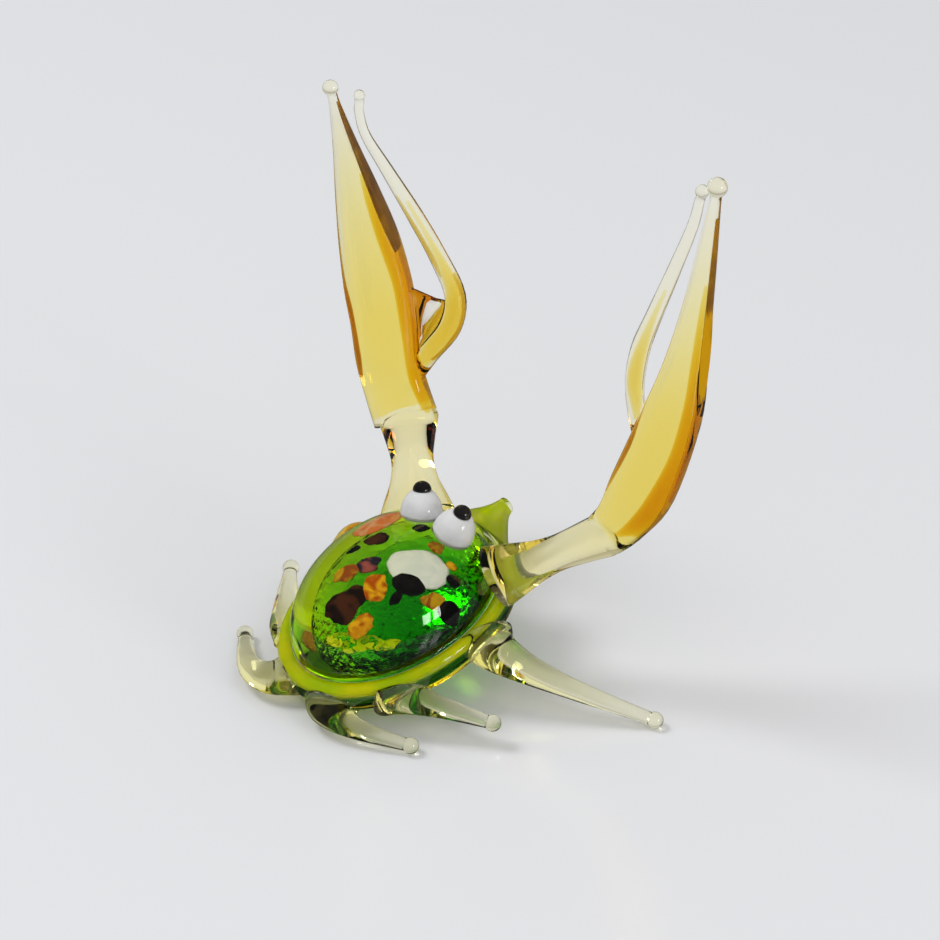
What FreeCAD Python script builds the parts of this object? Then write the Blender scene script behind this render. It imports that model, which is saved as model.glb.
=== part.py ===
import FreeCAD, Part
import math
import os

# A torch-made glass crab with raised claws, in millimetres.
# +Z is up, the snout points to -Y and the crab's own left is +X.
# Every piece was melted onto the one that carries it, so a piece ends face to face on its carrier.

# Body: a pebble of clear glass with a domed back, a flat ledge round it and a short upright wall.
BODY_LENGTH = 44.8
BODY_WIDTH = 35.0
DOME_HEIGHT = 14.2
LEDGE_WIDTH = 2.6
LEDGE_RISE = 0.7
WALL_HEIGHT = 3.0
BELLY_DEPTH = 7.6
BODY_PITCH_DEG = 16.5

# Where the body is held above the table.
MID_X = 2.2
BODY_Y = 6.4
RIM_HEIGHT = 11.8

# Layers inside the body, from the clear casing inwards.
CASING_SIDE = 4.0
CASING_OVER_GATHER = 4.7
CASING_UNDER_GATHER = 1.6
CORE_SIDE = 2.6
CORE_UNDER_GATHER_TOP = 3.4
CORE_OVER_GATHER_BASE = 1.0
CHIP_THICKNESS = 0.6

# Eyes: an opaque white bell with a black drop on its tip.
EYE_RADIUS = 3.6
EYE_SHOULDER_RADIUS = 2.9
EYE_SHOULDER_HEIGHT = 2.3
EYE_WHITE_HEIGHT = 3.6
PUPIL_RADIUS = 1.6
PUPIL_HEIGHT = 1.6
LEFT_EYE_OUT = 2.8
LEFT_EYE_AHEAD = 11.6
RIGHT_EYE_OUT = 4.6
RIGHT_EYE_AHEAD = 12.3

# Snout: the front of the body, drawn out broad and then pinched to a blunt tip.
SNOUT_SINK = 7.4
SNOUT_ROOT_RISE = 0.8
SNOUT_LENGTH = 11.6
SNOUT_LIFT = 2.0
SNOUT_ROOT_WIDTH = 19.0
SNOUT_ROOT_DEPTH = 9.0
SNOUT_TIP_WIDTH = 2.0
SNOUT_TIP_DEPTH = 3.4

# Claw arms: from the body's front corners up to the knuckles.
ARM_ROOT_RISE = 3.4
ARM_ROOT_DEPTH = 9.0
ARM_NECK_DEPTH = 6.0
KNUCKLE_OUT = 25.8
KNUCKLE_AHEAD = 23.6
KNUCKLE_DEPTH = 7.4
LEFT_KNUCKLE_HEIGHT = 27.3
LEFT_ARM_ROOT_WIDTH = 14.0
LEFT_ARM_NECK_WIDTH = 7.3
LEFT_KNUCKLE_WIDTH = 10.6
LEFT_ARM_ANGLE_DEG = 40.0
RIGHT_KNUCKLE_HEIGHT = 29.0
RIGHT_ARM_ROOT_WIDTH = 11.4
RIGHT_ARM_NECK_WIDTH = 6.0
RIGHT_KNUCKLE_WIDTH = 7.6
RIGHT_ARM_ANGLE_DEG = 50.0

# Claw palms: pressed bars of glass that bow outwards and taper to a fixed fingertip.
PALM_BOW_OUT = 3.5
PALM_BOW_AHEAD = 2.8
LEFT_PALM_WIDTH = 11.8
LEFT_PALM_DEPTH = 7.4
LEFT_TIP_OUT = 36.0
LEFT_TIP_AHEAD = 16.0
LEFT_TIP_HEIGHT = 89.4
RIGHT_PALM_WIDTH = 10.8
RIGHT_PALM_DEPTH = 7.4
RIGHT_TIP_OUT = 36.0
RIGHT_TIP_AHEAD = 36.0
RIGHT_TIP_HEIGHT = 93.0
LEFT_TIP_BALL = 1.35
RIGHT_TIP_BALL = 1.65
LEFT_CLAW_TURN_DEG = 217.0
RIGHT_CLAW_TURN_DEG = 22.0

# Moving-finger rods, which stand off the palm by a spread and come back to it at both ends.
LEFT_FINGER_SPREAD = 13.2
LEFT_FINGER_RADIUS = 1.6
LEFT_FINGER_BALL = 0.95
RIGHT_FINGER_SPREAD = 8.2
RIGHT_FINGER_RADIUS = 1.6
RIGHT_FINGER_BALL = 1.15
WEB_THICKNESS = 1.0

# Legs: rods drawn out of a flared root, each ending in a melted ball.
LEG_NECK_RADIUS = 1.05
LEG_TAPER = 2.1
LEG_FLARE = 2.8
LEG_FLATNESS = 0.55
FOOT_RADIUS = 1.45
FOOT_FLAT_DEPTH = 0.06
RAISED_FOOT_HEIGHT = 4.2
LEG_ROOT_DROP = 3.0

# How far a piece is made into its carrier before it is cut back to the carrier's face.
ROOT_DEPTH = 2.0
OVERRUN = 60.0
RING_POINTS = 8

HALF_LENGTH = BODY_LENGTH / 2
WIDTH_RATIO = BODY_WIDTH / BODY_LENGTH
DOME_RADIUS = HALF_LENGTH - LEDGE_WIDTH
GATHER_RADII = (BODY_WIDTH / 2 - CASING_SIDE, HALF_LENGTH - CASING_SIDE)
GATHER_TOP = DOME_HEIGHT - CASING_OVER_GATHER
GATHER_BASE = BELLY_DEPTH - CASING_UNDER_GATHER
CORE_RADII = (GATHER_RADII[0] - CORE_SIDE, GATHER_RADII[1] - CORE_SIDE)
CORE_TOP = GATHER_TOP - CORE_UNDER_GATHER_TOP
CORE_BASE = GATHER_BASE - CORE_OVER_GATHER_BASE
BODY_PLACE = FreeCAD.Placement(
    FreeCAD.Vector(MID_X, BODY_Y, RIM_HEIGHT),
    FreeCAD.Rotation(FreeCAD.Vector(1, 0, 0), -BODY_PITCH_DEG),
)
UP = FreeCAD.Vector(0, 0, 1)


def on_body(left, ahead, up):
    """A point given in the pitched body's own directions."""
    return BODY_PLACE.multVec(FreeCAD.Vector(left, -ahead, up))


def body_direction(left, ahead, up):
    return BODY_PLACE.Rotation.multVec(FreeCAD.Vector(left, -ahead, up))


def on_table(left, ahead, height):
    """A point given level with the table, counted from under the body's middle."""
    return FreeCAD.Vector(MID_X + left, BODY_Y - ahead, height)


def level_direction(turn_deg):
    """A level direction, turned from the crab's left towards its rear."""
    turn = math.radians(turn_deg)
    return FreeCAD.Vector(math.cos(turn), math.sin(turn), 0)


def stretch(shape, across, along, up):
    """A round shape with each of its three measures multiplied by a ratio, and its seam at the rear."""
    turned = shape.copy()
    turned.rotate(FreeCAD.Vector(), UP, 90)
    matrix = FreeCAD.Matrix()
    matrix.scale(FreeCAD.Vector(across, along, up))
    return turned.transformGeometry(matrix)


def pebble(radii, top, base):
    """An egg of two half ellipsoids that meet at the rim plane, in the body's place."""
    halves = []
    for height, low, high in ((top, 0, 90), (base, -90, 0)):
        ball = Part.makeSphere(radii[0], FreeCAD.Vector(), UP, low, high, 360)
        halves.append(stretch(ball, 1, radii[1] / radii[0], height / radii[0]))
    egg = halves[0].fuse(halves[1]).removeSplitter()
    egg.Placement = BODY_PLACE
    return egg


def oval_bar(half_width, half_length, height):
    """An upright bar with an oval outline, standing on the rim plane."""
    disc = Part.Face(Part.Wire([Part.makeCircle(half_width)]))
    return stretch(disc.extrude(UP * height), 1, half_length / half_width, 1)


def body_outside():
    """The whole outer form of the body: domed back, flat ledge, upright wall and rounded belly."""
    dome = Part.makeSphere(DOME_RADIUS, FreeCAD.Vector(), UP, 0, 90, 360)
    dome = stretch(dome, WIDTH_RATIO, 1, (DOME_HEIGHT - LEDGE_RISE) / DOME_RADIUS)
    dome.translate(UP * LEDGE_RISE)
    wall = oval_bar(HALF_LENGTH * WIDTH_RATIO, HALF_LENGTH, WALL_HEIGHT + LEDGE_RISE)
    wall.translate(UP * -WALL_HEIGHT)
    belly = Part.makeSphere(HALF_LENGTH, FreeCAD.Vector(), UP, -90, 0, 360)
    belly = stretch(belly, WIDTH_RATIO, 1, (BELLY_DEPTH - WALL_HEIGHT) / HALF_LENGTH)
    belly.translate(UP * -WALL_HEIGHT)
    outside = dome.fuse(wall).fuse(belly)
    outside.Placement = BODY_PLACE
    return outside


def ring(centre, along, wide, half_width, half_depth):
    """An oval across a limb. `wide` is the direction that its width keeps to."""
    forward = FreeCAD.Vector(along).normalize()
    side = wide - forward * wide.dot(forward)
    side.normalize()
    deep = forward.cross(side)
    points = []
    for step in range(RING_POINTS):
        angle = 2 * math.pi * step / RING_POINTS
        across = side * (half_width * math.cos(angle))
        points.append(centre + across + deep * (half_depth * math.sin(angle)))
    curve = Part.BSplineCurve()
    curve.interpolate(points, PeriodicFlag=True)
    return Part.Wire([curve.toShape()])


def drawn_rod(points, wide, half_widths, half_depths):
    """A solid drawn through rings that stand square to the line through the points."""
    rings = []
    last = len(points) - 1
    for index, point in enumerate(points):
        along = points[min(index + 1, last)] - points[max(index - 1, 0)]
        rings.append(ring(point, along, wide, half_widths[index], half_depths[index]))
    return Part.makeLoft(rings, True, False)


def one_solid(shape):
    """The largest solid of a result, so that slivers beyond a root are dropped."""
    solids = sorted(shape.Solids, key=lambda solid: solid.Volume)
    return solids[-1]


def bow(share):
    """Rise and fall of a limb off its straight line, with the peak before the middle."""
    return math.sin(math.pi * share ** 0.65)


# Coloured chips rolled onto the green gather before it was cased.
# Each is (left, ahead, half length, half width) as shares of the gather's half width, and a turn in degrees.
CHIP_SHARES = {
    "frit_black": [
        (-0.42, 0.01, 0.19, 0.12, 40),
        (-0.46, -0.20, 0.15, 0.07, 100),
        (-0.90, 0.15, 0.14, 0.09, 95),
        (-0.68, 0.44, 0.07, 0.06, 0),
        (0.38, -0.08, 0.08, 0.04, 65),
        (0.08, 0.64, 0.09, 0.06, 60),
    ],
    "frit_slate": [
        (0.08, -0.16, 0.12, 0.09, 60),
    ],
    "frit_white": [
        (-0.36, 0.22, 0.34, 0.23, 35),
    ],
    "frit_brown": [
        (-0.08, -0.66, 0.26, 0.19, 80),
        (0.28, 0.18, 0.15, 0.09, 60),
    ],
    "frit_orange": [
        (-0.20, -0.31, 0.19, 0.13, 120),
        (-0.37, -0.75, 0.17, 0.10, 70),
        (-0.53, 0.55, 0.06, 0.05, 0),
    ],
    "frit_amber": [
        (0.20, -0.38, 0.16, 0.10, 60),
        (-0.75, 0.08, 0.13, 0.09, 60),
        (-0.25, 0.57, 0.10, 0.08, 0),
    ],
    "frit_coral": [
        (0.50, 0.36, 0.33, 0.13, 80),
    ],
}


def chip_layer(gather):
    """The thin shell over the gather's back in which all chips lie."""
    grown = (GATHER_RADII[0] + CHIP_THICKNESS, GATHER_RADII[1] + CHIP_THICKNESS)
    layer = pebble(grown, GATHER_TOP + CHIP_THICKNESS, GATHER_BASE + CHIP_THICKNESS)
    return layer.cut(gather)


def chip_cutter(row):
    left, ahead, half_length, half_width, turn = row
    unit = GATHER_RADII[0]
    prism = oval_bar(half_length * unit, half_width * unit, OVERRUN)
    prism.rotate(FreeCAD.Vector(), UP, turn)
    prism.translate(FreeCAD.Vector(left * unit, -ahead * unit, 0))
    prism.Placement = BODY_PLACE.multiply(prism.Placement)
    return prism


def make_chips(gather):
    """The chips by colour. A chip that would run into an earlier one is cut back to its edge."""
    layer = chip_layer(gather)
    chips = {}
    laid = []
    for name, rows in CHIP_SHARES.items():
        solids = []
        for row in rows:
            chip = layer.common(chip_cutter(row))
            for other in laid:
                if chip.BoundBox.intersect(other.BoundBox):
                    chip = chip.cut(other)
            chip = one_solid(chip)
            solids.append(chip)
            laid.append(chip)
        chips[name] = Part.makeCompound(solids)
    return chips, laid


def dome_height_at(left, ahead):
    """Height of the dome's outside over the rim plane."""
    dome_width = DOME_RADIUS * WIDTH_RATIO
    share = 1 - (left / dome_width) ** 2 - (ahead / DOME_RADIUS) ** 2
    return LEDGE_RISE + (DOME_HEIGHT - LEDGE_RISE) * math.sqrt(share)


def eye_place(left, ahead):
    """Where an eye stands, square to the dome."""
    height = dome_height_at(left, ahead)
    dome_width = DOME_RADIUS * WIDTH_RATIO
    dome_rise = DOME_HEIGHT - LEDGE_RISE
    normal = body_direction(
        left / dome_width ** 2,
        ahead / DOME_RADIUS ** 2,
        (height - LEDGE_RISE) / dome_rise ** 2,
    )
    return FreeCAD.Placement(on_body(left, ahead, height), FreeCAD.Rotation(UP, normal))


def make_eye(left, ahead, outside):
    """White bell cut back to the dome, and the black drop that sits on the bell's flat tip."""
    seat = FreeCAD.Vector(PUPIL_RADIUS, 0, EYE_WHITE_HEIGHT)
    tip = FreeCAD.Vector(0, 0, EYE_WHITE_HEIGHT)
    hem = FreeCAD.Vector(EYE_RADIUS, 0, 0)
    shoulder = FreeCAD.Vector(EYE_SHOULDER_RADIUS, 0, EYE_SHOULDER_HEIGHT)
    root = FreeCAD.Vector(EYE_RADIUS, 0, -ROOT_DEPTH)
    axis_root = FreeCAD.Vector(0, 0, -ROOT_DEPTH)
    edges = [
        Part.makeLine(axis_root, root),
        Part.makeLine(root, hem),
        Part.Arc(hem, shoulder, seat).toShape(),
        Part.makeLine(seat, tip),
        Part.makeLine(tip, axis_root),
    ]
    white = Part.Face(Part.Wire(edges)).revolve(FreeCAD.Vector(), UP, 360)
    drop = Part.makeSphere(PUPIL_RADIUS, FreeCAD.Vector(), UP, 0, 90, 360)
    drop = stretch(drop, 1, 1, PUPIL_HEIGHT / PUPIL_RADIUS)
    drop.translate(tip)
    place = eye_place(left, ahead)
    white.Placement = place
    drop.Placement = place.multiply(drop.Placement)
    return one_solid(white.cut(outside)), drop


def make_snout(outside):
    """Rings from inside the body out to the pinched tip: how far out, lift, width and depth as shares."""
    rows_shares = (
        (0.0, 0.0, 1.0, 1.0),
        (0.35, 0.15, 0.80, 0.86),
        (0.6, 0.45, 0.44, 0.66),
        (0.82, 0.8, 0.18, 0.46),
        (1.0, 1.0, 0.1, 0.38),
    )
    points = []
    half_widths = []
    half_depths = []
    for out, lift, width, depth in rows_shares:
        ahead = HALF_LENGTH - SNOUT_SINK + out * SNOUT_LENGTH
        points.append(on_body(0, ahead, SNOUT_ROOT_RISE + lift * SNOUT_LIFT))
        half_widths.append(max(width * SNOUT_ROOT_WIDTH, SNOUT_TIP_WIDTH) / 2)
        half_depths.append(max(depth * SNOUT_ROOT_DEPTH, SNOUT_TIP_DEPTH) / 2)
    snout = drawn_rod(points, FreeCAD.Vector(1, 0, 0), half_widths, half_depths)
    return one_solid(snout.cut(outside))


def knuckle(side):
    height = LEFT_KNUCKLE_HEIGHT if side > 0 else RIGHT_KNUCKLE_HEIGHT
    return on_table(side * KNUCKLE_OUT, KNUCKLE_AHEAD, height)


def make_arm(side, angle_deg, inset, wide, root_width, neck_width, knuckle_width, carriers):
    """A waisted cone of glass from the body's shoulder to a rounded knuckle."""
    angle = math.radians(angle_deg)
    left = side * math.sin(angle) * inset * WIDTH_RATIO
    root = on_body(left, math.cos(angle) * inset, ARM_ROOT_RISE)
    reach = knuckle(side) - root
    rows_shares = ((0.0, 1.0, 0), (0.18, 0.62, 0), (0.38, 0.18, 0), (0.58, 0, 0), (0.8, 0, 0.42), (1.0, 0, 1.0))
    points = []
    half_widths = []
    half_depths = []
    for out, flare, swell in rows_shares:
        points.append(root + reach * out)
        width = neck_width + flare * (root_width - neck_width) + swell * (knuckle_width - neck_width)
        depth = ARM_NECK_DEPTH + flare * (ARM_ROOT_DEPTH - ARM_NECK_DEPTH)
        depth = depth + swell * (KNUCKLE_DEPTH - ARM_NECK_DEPTH)
        half_widths.append(width / 2)
        half_depths.append(depth / 2)
    arm = drawn_rod(points, wide, half_widths, half_depths)
    arm = arm.fuse(Part.makeSphere(KNUCKLE_DEPTH / 2, knuckle(side)))
    for carrier in carriers:
        arm = arm.cut(carrier)
    return one_solid(arm)


def palm_point(side, tip, share):
    """The middle line of a palm, from the knuckle to the fixed fingertip."""
    start = knuckle(side)
    lean = FreeCAD.Vector(side * PALM_BOW_OUT, -PALM_BOW_AHEAD, 0)
    return start + (tip - start) * share + lean * bow(share)


def make_palm(side, tip, wide, width, depth, ball, outline_shares, arm):
    """A flattened bar: rows are the place along it, a shift aside, and width and depth as shares."""
    points = []
    half_widths = []
    half_depths = []
    for along, aside, width_share, depth_share in outline_shares:
        points.append(palm_point(side, tip, along) + wide * (aside * width))
        half_widths.append(width_share * width / 2)
        half_depths.append(depth_share * depth / 2)
    palm = drawn_rod(points, wide, half_widths, half_depths)
    palm = palm.fuse(Part.makeSphere(ball, tip))
    return one_solid(palm.cut(arm))


LEFT_PALM_SHARES = (
    (0.0, -0.04, 0.95, 0.90),
    (0.06, -0.10, 0.93, 0.96),
    (0.15, -0.135, 0.93, 1.0),
    (0.26, -0.07, 0.97, 1.0),
    (0.37, -0.03, 1.0, 0.96),
    (0.52, 0, 0.88, 0.86),
    (0.67, 0, 0.63, 0.70),
    (0.82, 0, 0.34, 0.48),
    (0.94, 0, 0.16, 0.26),
    (1.0, 0, 0.13, 0.20),
)
RIGHT_PALM_SHARES = (
    (0.0, 0, 0.72, 0.86),
    (0.05, 0, 0.82, 0.94),
    (0.15, 0, 1.0, 1.0),
    (0.36, 0, 0.88, 0.94),
    (0.51, 0, 0.64, 0.76),
    (0.67, 0, 0.43, 0.56),
    (0.82, 0, 0.29, 0.40),
    (0.94, 0, 0.18, 0.28),
    (1.0, 0, 0.15, 0.22),
)


def finger_point(side, tip, wide, spread, along, gap):
    return palm_point(side, tip, along) + wide * (gap * spread)


def make_finger(side, tip, wide, spread, radius, ball, rows_shares, palm):
    """A round rod. Rows are the place along the palm, the stand-off and the thickness as shares."""
    points = []
    radii = []
    for along, gap, thickness in rows_shares:
        points.append(finger_point(side, tip, wide, spread, along, gap))
        radii.append(thickness * radius)
    rod = drawn_rod(points, wide, radii, radii)
    rod = rod.fuse(Part.makeSphere(ball, points[-1]))
    return one_solid(rod.cut(palm))


LEFT_FINGER_SHARES = (
    (0.11, 0.16, 0.95),
    (0.18, 0.46, 0.85),
    (0.27, 0.84, 0.95),
    (0.37, 1.0, 1.0),
    (0.49, 0.89, 1.0),
    (0.62, 0.70, 0.9),
    (0.76, 0.47, 0.68),
    (0.86, 0.31, 0.54),
    (0.93, 0.30, 0.5),
    (0.985, 0.36, 0.52),
)
RIGHT_FINGER_SHARES = (
    (0.24, 0.24, 0.9),
    (0.33, 0.66, 0.95),
    (0.42, 0.94, 1.0),
    (0.52, 1.0, 1.0),
    (0.62, 0.86, 0.85),
    (0.74, 0.64, 0.72),
    (0.88, 0.38, 0.58),
    (0.98, 0.29, 0.5),
)


def make_web(side, tip, wide, spread, palm, finger):
    """Glass pinched flat between the left palm and its finger rod."""
    start = knuckle(side)
    lean = FreeCAD.Vector(side * PALM_BOW_OUT, -PALM_BOW_AHEAD, 0)
    corners_shares = ((0.12, 0.18), (0.26, 0.80), (0.345, 0.97), (0.35, 0.72), (0.385, 0.3))
    corners = []
    for along, gap in corners_shares:
        corners.append(start + (tip - start) * along + lean + wide * (gap * spread))
    normal = (tip - start).cross(wide).normalize()
    shift = normal * (WEB_THICKNESS / 2)
    closed = corners + corners[:1]
    face = Part.Face(Part.makePolygon([corner - shift for corner in closed]))
    return one_solid(face.extrude(normal * WEB_THICKNESS).cut(palm).cut(finger))


# Legs: side, turn from straight ahead in degrees, then as shares of the body's length where the foot is,
# left, ahead and up, and which way the rod bows, left, ahead and up. The last value is the thickness share.
STANDING = FOOT_RADIUS - FOOT_FLAT_DEPTH
LEG_SHARES = {
    "right_front_leg": (-1, 74, (0.931, 0.471), (0, -0.054, 0), 1.0),
    "right_middle_leg": (-1, 125, (0.629, -0.056), (0, -0.022, 0.013), 0.9),
    "right_rear_leg": (-1, 161, (0.478, -0.321), (0, -0.076, 0), 0.8),
    "left_front_leg": (1, 74, (0.625, 0.134), (0, 0, 0.134), 0.8),
    "left_middle_leg": (1, 130, (0.658, 0), (0, -0.036, 0.013), 0.8),
    "left_rear_leg": (1, 164, (0.484, -0.355), (0, -0.112, 0), 0.8),
}
RAISED_LEGS = ("right_middle_leg", "left_middle_leg")


def make_leg(side, angle_deg, foot, lean, slimness, carrier):
    """One leg: a flared root on the wall, a bowed rod and a melted ball for a foot."""
    angle = math.radians(angle_deg)
    inset = HALF_LENGTH - ROOT_DEPTH
    left = side * math.sin(angle) * inset * WIDTH_RATIO
    root = on_body(left, math.cos(angle) * inset, -LEG_ROOT_DROP)
    aside = UP.cross(foot - root)
    points = []
    half_widths = []
    half_depths = []
    for share in (0.0, 0.1, 0.22, 0.36, 0.52, 0.7, 0.86, 1.0):
        points.append(root + (foot - root) * share + lean * bow(share))
        rest = 1 - share
        taper = LEG_TAPER * slimness * rest
        flare = LEG_FLARE * slimness * rest ** 4
        half_widths.append(LEG_NECK_RADIUS + taper + flare)
        half_depths.append(LEG_NECK_RADIUS + (taper + flare) * LEG_FLATNESS)
    leg = drawn_rod(points, aside.normalize(), half_widths, half_depths)
    leg = leg.fuse(Part.makeSphere(FOOT_RADIUS, foot))
    table = Part.makeBox(OVERRUN * 2, OVERRUN * 2, OVERRUN)
    table.translate(FreeCAD.Vector(-OVERRUN, -OVERRUN, -OVERRUN))
    return one_solid(leg.cut(carrier).cut(table))


def build():
    pieces = {}
    outside = body_outside()
    gather = pebble(GATHER_RADII, GATHER_TOP, GATHER_BASE)
    core = pebble(CORE_RADII, CORE_TOP, CORE_BASE)
    chips, all_chips = make_chips(gather)
    pieces["body_core"] = core
    pieces["body_gather"] = gather.cut(core)
    pieces.update(chips)
    pieces["body_casing"] = outside.cut(gather).cut(all_chips)

    snout = make_snout(outside)
    pieces["snout"] = snout
    eyes = (("left", LEFT_EYE_OUT, LEFT_EYE_AHEAD), ("right", -RIGHT_EYE_OUT, RIGHT_EYE_AHEAD))
    for name, left, ahead in eyes:
        white, drop = make_eye(left, ahead, outside)
        pieces[name + "_eye_white"] = white
        pieces[name + "_eye_pupil"] = drop

    left_wide = level_direction(LEFT_CLAW_TURN_DEG)
    right_wide = level_direction(RIGHT_CLAW_TURN_DEG)
    left_arm = make_arm(
        1, LEFT_ARM_ANGLE_DEG, DOME_RADIUS - ROOT_DEPTH, left_wide, LEFT_ARM_ROOT_WIDTH,
        LEFT_ARM_NECK_WIDTH, LEFT_KNUCKLE_WIDTH, (outside, snout)
    )
    right_arm = make_arm(
        -1, RIGHT_ARM_ANGLE_DEG, HALF_LENGTH - ROOT_DEPTH, UP, RIGHT_ARM_ROOT_WIDTH,
        RIGHT_ARM_NECK_WIDTH, RIGHT_KNUCKLE_WIDTH, (outside, snout)
    )
    left_tip = on_table(LEFT_TIP_OUT, LEFT_TIP_AHEAD, LEFT_TIP_HEIGHT)
    right_tip = on_table(-RIGHT_TIP_OUT, RIGHT_TIP_AHEAD, RIGHT_TIP_HEIGHT)
    left_palm = make_palm(
        1, left_tip, left_wide, LEFT_PALM_WIDTH, LEFT_PALM_DEPTH, LEFT_TIP_BALL, LEFT_PALM_SHARES, left_arm
    )
    right_palm = make_palm(
        -1, right_tip, right_wide, RIGHT_PALM_WIDTH, RIGHT_PALM_DEPTH, RIGHT_TIP_BALL, RIGHT_PALM_SHARES,
        right_arm
    )
    left_finger = make_finger(
        1, left_tip, left_wide, LEFT_FINGER_SPREAD, LEFT_FINGER_RADIUS, LEFT_FINGER_BALL,
        LEFT_FINGER_SHARES, left_palm
    )
    right_finger = make_finger(
        -1, right_tip, right_wide, RIGHT_FINGER_SPREAD, RIGHT_FINGER_RADIUS, RIGHT_FINGER_BALL,
        RIGHT_FINGER_SHARES, right_palm
    )
    pieces["left_claw_arm"] = left_arm
    pieces["right_claw_arm"] = right_arm
    pieces["left_claw_palm"] = left_palm
    pieces["right_claw_palm"] = right_palm
    pieces["left_claw_finger"] = left_finger
    pieces["right_claw_finger"] = right_finger
    pieces["left_claw_web"] = make_web(
        1, left_tip, left_wide, LEFT_FINGER_SPREAD, left_palm, left_finger
    )

    for name, row in LEG_SHARES.items():
        side, angle_deg, place_shares, lean_shares, slimness = row
        height = RAISED_FOOT_HEIGHT if name in RAISED_LEGS else STANDING
        foot = on_table(side * place_shares[0] * BODY_LENGTH, place_shares[1] * BODY_LENGTH, height)
        lean = FreeCAD.Vector(side * lean_shares[0], -lean_shares[1], lean_shares[2]) * BODY_LENGTH
        pieces[name] = make_leg(side, angle_deg, foot, lean, slimness, outside)
    return pieces


os.makedirs("parts", exist_ok=True)
for node, shape in build().items():
    shape.exportStep(os.path.join("parts", node + ".step"))
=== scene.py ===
"""A torch-made glass crab with raised claws: a pebble body cased in lime glass over green, with colour
chips inside, white and black glass eyes, and claws and legs drawn from clear straw-coloured rods.
Each limb was melted onto the body while hot, so it flares at its root and ends in a melted ball."""
import math
import bmesh
import bpy
from mathutils import Matrix, Vector, noise


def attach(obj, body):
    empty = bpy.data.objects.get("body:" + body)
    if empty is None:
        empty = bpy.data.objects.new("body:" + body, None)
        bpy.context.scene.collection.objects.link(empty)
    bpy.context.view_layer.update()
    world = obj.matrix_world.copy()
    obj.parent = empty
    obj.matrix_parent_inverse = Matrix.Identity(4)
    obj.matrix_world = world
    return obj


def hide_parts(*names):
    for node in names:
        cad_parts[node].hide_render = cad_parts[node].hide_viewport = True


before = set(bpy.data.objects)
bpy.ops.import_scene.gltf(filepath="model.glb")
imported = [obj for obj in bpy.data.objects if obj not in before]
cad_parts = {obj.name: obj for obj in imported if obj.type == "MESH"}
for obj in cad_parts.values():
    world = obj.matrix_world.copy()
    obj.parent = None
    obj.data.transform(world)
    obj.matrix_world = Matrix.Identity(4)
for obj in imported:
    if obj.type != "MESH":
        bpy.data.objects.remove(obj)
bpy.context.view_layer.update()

MM = 0.001

# Body: the outer pebble of clear lime glass. It is a domed back, a gentle ledge, a short upright wall
# and a rounded belly. It was shaped in the flame, pitched nose up, and is one solid mass.
BODY_LENGTH = 44.8
BODY_WIDTH = 35.0
HALF_LENGTH = BODY_LENGTH / 2
WIDTH_RATIO = BODY_WIDTH / BODY_LENGTH
BODY_PITCH = math.radians(16.5)
BODY_TURN = Matrix.Rotation(-BODY_PITCH, 3, "X")
BODY_MIDDLE = Vector((2.2, 6.4, 11.8))
DOME_SHARE = 0.868
DOME_BASE = 0.7
DOME_RISE = 13.5
LEDGE = ((0.885, 0.62), (0.91, 0.78), (0.94, 0.86), (0.965, 0.78), (0.985, 0.48), (0.998, 0.0))
WALL = ((1.0, -0.6), (1.0, -1.6), (0.998, -2.6), (0.992, -3.2))
BELLY_SHARE = 0.99
BELLY_BASE = -3.2
BELLY_DROP = 4.4
CASING_STEPS = 128
GLASS_BEND = 1.5
RIPPLE_DEPTH = 0.4 * MM


def on_body(left, ahead, up):
    """A place in mm along the pitched body's own axes, from its middle, as a point in metres."""
    return (BODY_MIDDLE + BODY_TURN @ Vector((left, -ahead, up))) * MM


def extruded_rings(name, rings):
    """A circle primitive extruded ring by ring. A ring whose points meet is closed to a point."""
    bpy.ops.object.select_all(action="DESELECT")
    bpy.ops.mesh.primitive_circle_add(vertices=len(rings[0]), radius=MM, fill_type="NOTHING")
    obj = bpy.context.object
    obj.name = name
    obj.matrix_world = Matrix()
    bpy.ops.object.mode_set(mode="EDIT")
    bpy.ops.mesh.select_mode(type="VERT")
    bpy.ops.mesh.select_all(action="SELECT")
    mesh = bmesh.from_edit_mesh(obj.data)
    mesh.verts.ensure_lookup_table()
    places = {vert: index for index, vert in enumerate(mesh.verts)}
    for vert, index in places.items():
        vert.co = rings[0][index]
    for ring in rings[1:]:
        bpy.ops.mesh.extrude_edges_move()
        mesh = bmesh.from_edit_mesh(obj.data)
        fresh = {}
        for vert in mesh.verts:
            if vert.select:
                for edge in vert.link_edges:
                    other = edge.other_vert(vert)
                    if not other.select:
                        fresh[vert] = places[other]
        for vert, index in fresh.items():
            vert.co = ring[index]
        places = fresh
        bmesh.update_edit_mesh(obj.data)
    bpy.ops.mesh.select_all(action="SELECT")
    bpy.ops.mesh.remove_doubles(threshold=0.002 * MM)
    bpy.ops.mesh.select_all(action="DESELECT")
    bpy.ops.mesh.select_non_manifold(extend=False, use_wire=True, use_boundary=True, use_multi_face=False)
    bpy.ops.mesh.edge_face_add()
    bpy.ops.mesh.select_all(action="SELECT")
    bpy.ops.mesh.normals_make_consistent(inside=False)
    bpy.ops.object.mode_set(mode="OBJECT")
    bpy.ops.object.shade_smooth()
    return obj


def body_ring(share, height, steps, shift=(0.0, 0.0)):
    """An oval ring about the body's upright axis, or a shifted one. Its size is a share of the body's."""
    ring = []
    for step in range(steps):
        angle = 2 * math.pi * step / steps
        left = shift[0] + share * HALF_LENGTH * WIDTH_RATIO * math.cos(angle)
        ring.append(on_body(left, shift[1] + share * HALF_LENGTH * math.sin(angle), height))
    return ring


def new_material(name):
    material = bpy.data.materials.new(name)
    material.use_nodes = True
    return material, material.node_tree.nodes, material.node_tree.links


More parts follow.
